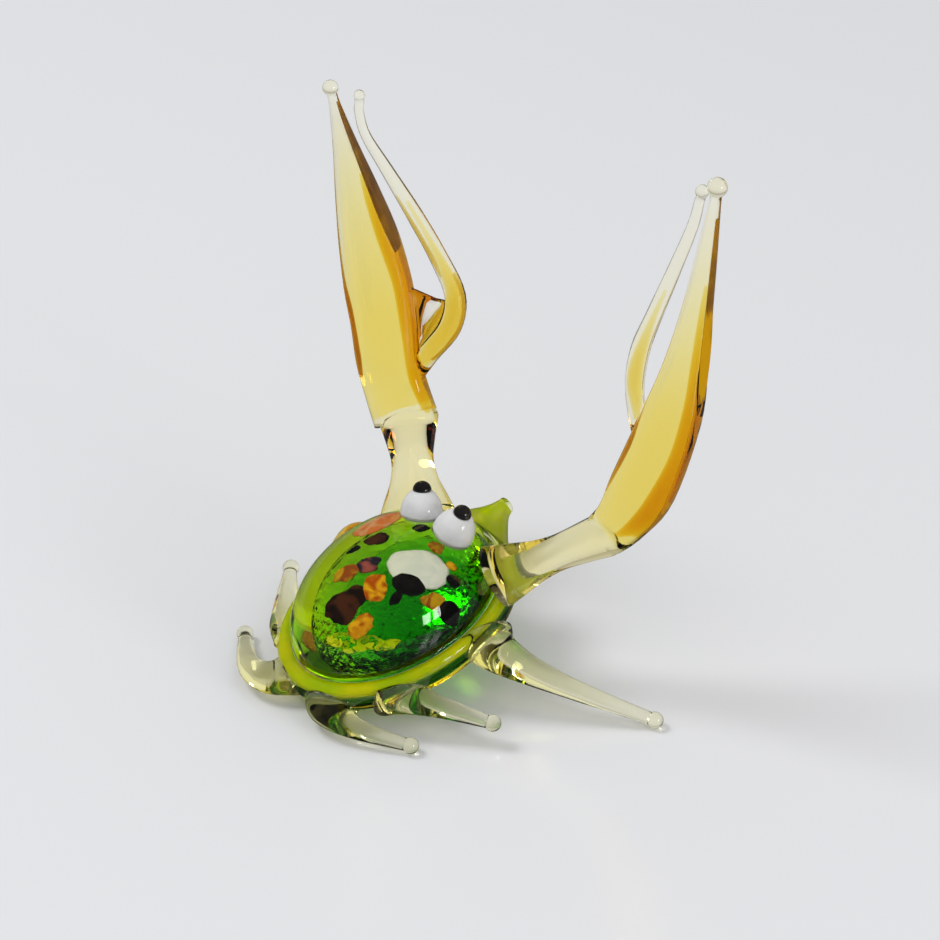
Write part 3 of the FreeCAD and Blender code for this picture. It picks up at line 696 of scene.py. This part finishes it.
# Web: a skin of glass pinched flat between the left blade and its rod, thicker where it meets them. It is
# the same straw glass, and it closes the lower half of the gap.
# Columns: share along the blade and share of the rod's swing, then offset and size of each face.
WEB_CORNERS = ((0.12, 0.18), (0.19, 0.5), (0.26, 0.80), (0.345, 0.99), (0.352, 0.72), (0.37, 0.5),
               (0.385, 0.3), (0.25, 0.2))
WEB_FACES = ((-0.5, 0.94), (-0.35, 1.0), (0.35, 1.0), (0.5, 0.94))
blade_line = TIP[1] - KNUCKLE[1]
corners = []
for along, gap in WEB_CORNERS:
    corners.append(KNUCKLE[1] + blade_line * along + BLADE_LEAN[1] + WIDE[1] * (gap * FINGERS[1][0]))
middle = sum(corners, Vector()) / len(corners)
normal = blade_line.cross(WIDE[1]).normalized()
rings = []
for offset, size in WEB_FACES:
    rings.append([(middle + (corner - middle) * size + normal * offset) * MM for corner in corners])
web = extruded_rings("left_claw_web_skin", rings)

# Claws: arm, blade, rod and web were melted together hot, so one skin of straw glass runs over each claw.
# Its root is cut back to just under the skins of the body and the snout, where it was melted on.
straw_arm = clear_glass("straw_arm_glass", (0.975, 0.89, 0.28), 130, 0.25, 150.0)
for side, name in SIDE_NAMES.items():
    claw = arms[side]
    nodes = [name + "_claw_arm", name + "_claw_palm", name + "_claw_finger"]
    melted = [blades[side], fingers[side]]
    if side > 0:
        nodes.append("left_claw_web")
        melted.append(web)
    for piece in melted:
        join_glass(claw, piece, "UNION")
    cut_back(claw, [casing, snout], LIMB_INSET)
    claw.name = name + "_claw"
    coat(claw, straw_arm)
    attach(claw, "root")
    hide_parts(*nodes)

# Eyes: an opaque white bell of glass on the dome, with a black drop melted onto its tip. They stand square
# to the dome, close together behind the snout.
EYE_PLACES = (("left", 2.8, 11.6), ("right", -4.6, 12.3))
EYE_DOME_LENGTH = 19.8
EYE_DOME_WIDTH = EYE_DOME_LENGTH * WIDTH_RATIO
EYE_TOP = 3.62
# Columns: rise over the dome and radius.
EYE_BELL = ((-1.6, 3.5), (-0.8, 3.6), (0.0, 3.58), (0.8, 3.45), (1.6, 3.18), (2.3, 2.8), (2.9, 2.35),
            (3.35, 1.9), (3.55, 1.55), (EYE_TOP, 1.0), (EYE_TOP, 0.002))
PUPIL_FOOT = ((3.45, 1.2), (3.55, 1.5))
PUPIL_RADIUS = 1.6
PUPIL_RISE = 1.55


def glazed(name, colours, size, roughness, shine=0.5, distortion=0.0, spread=(0.35, 0.65)):
    """Opaque glass: a streaked colour, under a bright skin where it has a shine."""
    material, nodes, links = new_material(name)
    shader = nodes["Principled BSDF"]
    shader.inputs["Roughness"].default_value = roughness
    shader.inputs["IOR"].default_value = GLASS_BEND
    shader.inputs["Specular IOR Level"].default_value = shine
    ramp = add_streaks(nodes, links, add_grain(nodes, links, size, 4.0, distortion), colours, spread)
    links.new(ramp.outputs["Color"], shader.inputs["Base Color"])
    return material


def turned(name, place, axis, outline, points):
    """A piece turned about an axis. Its outline is rows of rise along the axis and radius."""
    rows = [(place + axis * rise, radius, radius) for rise, radius in outline]
    return extruded_rings(name, limb_rings(rows, LEVEL_SIDE, 1.0, points))


eye_white = glazed("eye_white_glass", ((0.60, 0.60, 0.61), (0.70, 0.70, 0.69)), 220.0, 0.06)
eye_black = glazed("eye_black_glass", ((0.006, 0.006, 0.006), (0.02, 0.016, 0.014)), 300.0, 0.03)
drop = list(PUPIL_FOOT)
for step in range(9):
    angle = math.pi / 2 * step / 8
    drop.append((EYE_TOP + PUPIL_RISE * math.sin(angle), max(PUPIL_RADIUS * math.cos(angle), 0.002)))
for name, left, ahead in EYE_PLACES:
    share = 1 - (left / EYE_DOME_WIDTH) ** 2 - (ahead / EYE_DOME_LENGTH) ** 2
    height = DOME_BASE + DOME_RISE * math.sqrt(share)
    place = on_body(left, ahead, height) / MM
    upright = (height - DOME_BASE) / DOME_RISE ** 2
    axis = Vector((left / EYE_DOME_WIDTH ** 2, -ahead / EYE_DOME_LENGTH ** 2, upright))
    axis = BODY_TURN @ axis.normalized()
    white = turned(name + "_eye_bell", place, axis, EYE_BELL, 48)
    white.data.materials.append(eye_white)
    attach(white, "root")
    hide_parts(name + "_eye_white")
    pupil = turned(name + "_eye_drop", place, axis, drop, 40)
    pupil.data.materials.append(eye_black)
    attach(pupil, "root")
    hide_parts(name + "_eye_pupil")

# Chips: crumbs of opaque coloured glass, rolled onto the green gather, melted flat and sealed under the
# casing. They follow the gather's back, and their outlines are uneven.
CHIP_SPAN = 13.5
CHIP_WAVES = ((1.3, 1.0), (4.1, 0.35))
CHIP_WAVE_REACH = 1.6
CHIP_SEED_STEP = 3.7
CHIP_SEED_SPREAD = 9
# Columns: share of the outline's size and rise over the gather's back.
CHIP_SECTION = ((0.02, -0.1), (0.7, -0.1), (0.95, -0.05), (1.0, 0.1), (0.93, 0.3), (0.7, 0.5), (0.35, 0.6),
                (0.02, 0.62))
GATHER_HALF_LENGTH = GATHER_SHARE * HALF_LENGTH
GATHER_HALF_WIDTH = GATHER_HALF_LENGTH * WIDTH_RATIO
# Columns: slot and two colours, then a row for each chip: left, ahead, half length and half width in spans,
# turn in degrees and unevenness.
CHIPS = {
    "frit_black": ("black_glass", ((0.002, 0.002, 0.002), (0.010, 0.008, 0.007)), (
        (-0.43, 0.02, 0.20, 0.17, 40, 0.08), (-0.46, -0.20, 0.15, 0.045, 100, 0.3),
        (-0.90, 0.15, 0.14, 0.10, 95, 0.06), (-0.68, 0.44, 0.08, 0.07, 0, 0.1),
        (0.38, -0.08, 0.08, 0.04, 65, 0.3), (0.08, 0.64, 0.09, 0.06, 60, 0.2))),
    "frit_slate": ("slate_glass", ((0.02, 0.02, 0.04), (0.42, 0.10, 0.09)), (
        (0.08, -0.15, 0.15, 0.11, 60, 0.25),)),
    "frit_white": ("white_glass", ((0.88, 0.90, 0.92), (0.97, 0.97, 0.98)), (
        (-0.36, 0.22, 0.34, 0.26, 35, 0.08),)),
    "frit_brown": ("brown_glass", ((0.012, 0.005, 0.003), (0.075, 0.022, 0.008)), (
        (-0.08, -0.66, 0.26, 0.19, 80, 0.2), (0.28, 0.18, 0.15, 0.09, 60, 0.2))),
    "frit_orange": ("orange_glass", ((0.55, 0.09, 0.0), (1.0, 0.50, 0.01)), (
        (-0.20, -0.31, 0.19, 0.13, 120, 0.2), (-0.37, -0.75, 0.17, 0.10, 70, 0.2),
        (-0.53, 0.55, 0.06, 0.05, 0, 0.1))),
    "frit_amber": ("amber_glass", ((0.36, 0.08, 0.01), (0.72, 0.40, 0.01)), (
        (0.20, -0.38, 0.16, 0.10, 60, 0.2), (-0.75, 0.08, 0.13, 0.09, 60, 0.2),
        (-0.25, 0.57, 0.10, 0.08, 0, 0.2))),
    "frit_coral": ("coral_glass", ((0.95, 0.24, 0.06), (0.98, 0.48, 0.24)), (
        (0.50, 0.36, 0.33, 0.13, 80, 0.15),)),
}


def gather_height(left, ahead):
    """Height of the gather's back over the rim plane, in mm."""
    share = 1 - (left / GATHER_HALF_WIDTH) ** 2 - (ahead / GATHER_HALF_LENGTH) ** 2
    return GATHER_TOP * math.sqrt(max(share, 0.0))


for node, (slot, colours, rows) in CHIPS.items():
    material = glazed(node + "_glass", colours, 280.0, 1.0, 0.0, 1.6, (0.42, 0.60))
    chips = []
    for number, (left, ahead, half_length, half_width, degrees, uneven) in enumerate(rows):
        turn = math.radians(degrees)
        rings = []
        for size, rise in CHIP_SECTION:
            ring = []
            for step in range(40):
                angle = 2 * math.pi * step / 40
                seed = number * CHIP_SEED_STEP + left * CHIP_SEED_SPREAD
                around = Vector((math.cos(angle), math.sin(angle), seed))
                wave = sum(height * noise.noise(around * count) for count, height in CHIP_WAVES)
                reach = CHIP_SPAN * size * (1 + uneven * wave * CHIP_WAVE_REACH)
                x = half_length * reach * math.cos(angle)
                y = half_width * reach * math.sin(angle)
                across = left * CHIP_SPAN + x * math.cos(turn) - y * math.sin(turn)
                along = ahead * CHIP_SPAN - x * math.sin(turn) - y * math.cos(turn)
                ring.append(on_body(across, along, gather_height(across, along) + rise))
            rings.append(ring)
        chip = extruded_rings(node + "_chip_" + str(number + 1), rings)
        chip.data.materials.append(material)
        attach(chip, "root")
        chips.append(chip)
    for chip in chips:
        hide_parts(node)

# Table: a pale satin board that runs on out of view. In the glass's first reflections it is dimmed, since
# the real dome mirrors little but the window.
TABLE_SPAN = 6.0
TABLE_COLOUR = (0.71, 0.715, 0.728)
TABLE_ROUGHNESS = 0.22
TABLE_MIRRORED = 0.06


def product(nodes, links, one, other):
    both = nodes.new("ShaderNodeMath")
    both.operation = "MULTIPLY"
    links.new(one, both.inputs[0])
    links.new(other, both.inputs[1])
    return both.outputs["Value"]


def early_share(nodes, links, kind, bounces):
    """1 for rays of one kind with at most so many bounces, and 0 for all others."""
    ray = nodes.new("ShaderNodeLightPath")
    soon = nodes.new("ShaderNodeMath")
    soon.operation = "LESS_THAN"
    soon.inputs[1].default_value = bounces + 0.5
    links.new(ray.outputs["Ray Depth"], soon.inputs[0])
    return product(nodes, links, ray.outputs[kind], soon.outputs["Value"])


def dimmed(nodes, links, share, plain, dim):
    """A strength that goes from plain to dim as the share goes from 0 to 1."""
    fade = nodes.new("ShaderNodeMapRange")
    fade.inputs["To Min"].default_value = plain
    fade.inputs["To Max"].default_value = dim
    links.new(share, fade.inputs["Value"])
    return fade.outputs["Result"]


bpy.ops.object.select_all(action="DESELECT")
bpy.ops.mesh.primitive_plane_add(size=TABLE_SPAN)
table = bpy.context.object
table.name = "table"
board, nodes, links = new_material("table_board")
shader = nodes["Principled BSDF"]
shader.inputs["Roughness"].default_value = TABLE_ROUGHNESS
pale = nodes.new("ShaderNodeVectorMath")
pale.operation = "SCALE"
pale.inputs[0].default_value = TABLE_COLOUR
mirrored = early_share(nodes, links, "Is Glossy Ray", 1)
links.new(dimmed(nodes, links, mirrored, 1.0, TABLE_MIRRORED), pale.inputs["Scale"])
links.new(pale.outputs["Vector"], shader.inputs["Base Color"])
table.data.materials.append(board)

# Room: a soft sky, paler overhead. It counts one bounce more than a surface does. It is dimmed in the first
# reflections, and seen through the glass it has a dusky side behind the camera that outlines the limbs.
ROOM_LOW = (0.50, 0.48, 0.44, 1)
ROOM_HIGH = (0.97, 0.98, 1.0, 1)
ROOM_STRENGTH = 0.85
ROOM_MIRRORED = 0.12
DUSK_WAY = (-0.78, 0.62, 0.1)
DUSK_STRENGTH = 0.3
world = bpy.data.worlds.new("room")
bpy.context.scene.world = world
world.use_nodes = True
nodes = world.node_tree.nodes
links = world.node_tree.links
sky = nodes["Background"]
coordinate = nodes.new("ShaderNodeTexCoord")
split = nodes.new("ShaderNodeSeparateXYZ")
ramp = nodes.new("ShaderNodeValToRGB")
ramp.color_ramp.elements[0].position = 0.0
ramp.color_ramp.elements[0].color = ROOM_LOW
ramp.color_ramp.elements[1].position = 0.6
ramp.color_ramp.elements[1].color = ROOM_HIGH
links.new(coordinate.outputs["Generated"], split.inputs["Vector"])
links.new(split.outputs["Z"], ramp.inputs["Fac"])
links.new(ramp.outputs["Color"], sky.inputs["Color"])
facing = nodes.new("ShaderNodeVectorMath")
facing.operation = "DOT_PRODUCT"
facing.inputs[1].default_value = DUSK_WAY
dusk = nodes.new("ShaderNodeMapRange")
dusk.inputs["From Min"].default_value = 0.15
dusk.inputs["From Max"].default_value = 0.6
links.new(coordinate.outputs["Generated"], facing.inputs[0])
links.new(facing.outputs["Value"], dusk.inputs["Value"])
mirrored = early_share(nodes, links, "Is Glossy Ray", 2)
through = early_share(nodes, links, "Is Transmission Ray", 3)
outline = product(nodes, links, dusk.outputs["Result"], through)
strength = product(nodes, links, dimmed(nodes, links, outline, 1.0, DUSK_STRENGTH),
                   dimmed(nodes, links, mirrored, ROOM_STRENGTH, ROOM_MIRRORED))
links.new(strength, sky.inputs["Strength"])

# Lights: the two panes of a window low on the right, which the dome mirrors, and a soft lamp high on the
# left that throws the shadow.
CRAB_MIDDLE = Vector((0, 0, 0.02))
WINDOW = Vector((-0.86, -0.14, 0.28))
WINDOW_WAY = Vector((0.16, -0.987, 0.0))
PANE_SHIFT = 0.075
PANE_WIDTH = 0.11
PANE_HEIGHT = 0.2
PANE_POWER = 0.8
SOFT_LAMP = Vector((0.75, 0.45, 1.25))
SOFT_WIDTH = 0.6
SOFT_POWER = 9.0


def hang_lamp(name, shape, size, energy, place):
    light = bpy.data.lights.new(name, "AREA")
    light.shape = shape
    light.size = size
    light.energy = energy
    lamp = bpy.data.objects.new(name, light)
    bpy.context.collection.objects.link(lamp)
    lamp.location = place
    lamp.rotation_euler = (CRAB_MIDDLE - lamp.location).to_track_quat("-Z", "Y").to_euler()
    return lamp


for number, shift in enumerate((-PANE_SHIFT, PANE_SHIFT)):
    place = WINDOW + WINDOW_WAY * shift
    pane = hang_lamp("pane_" + str(number + 1), "RECTANGLE", PANE_WIDTH, PANE_POWER, place)
    pane.data.size_y = PANE_HEIGHT
soft = hang_lamp("soft_lamp", "DISK", SOFT_WIDTH, SOFT_POWER, SOFT_LAMP)
soft.visible_glossy = False

# Camera: the photograph's view, from high behind the crab's right side. It stands 0.6 m off, with a long
# lens that just holds the crab and its shadow.
CAMERA_PLACE = Vector((-0.3907, 0.3172, 0.3515))
CAMERA_AIM = Vector((0.0004, -0.0082, 0.0335))
CAMERA_LENS = 137.9
camera = bpy.data.objects.new("camera", bpy.data.cameras.new("camera"))
bpy.context.collection.objects.link(camera)
camera.location = CAMERA_PLACE
camera.rotation_euler = (CAMERA_AIM - CAMERA_PLACE).to_track_quat("-Z", "Y").to_euler()
camera.data.lens = CAMERA_LENS
camera.data.sensor_width = 36.0
camera.data.clip_start = 0.01
bpy.context.scene.camera = camera
bpy.context.scene.view_settings.view_transform = "Standard"
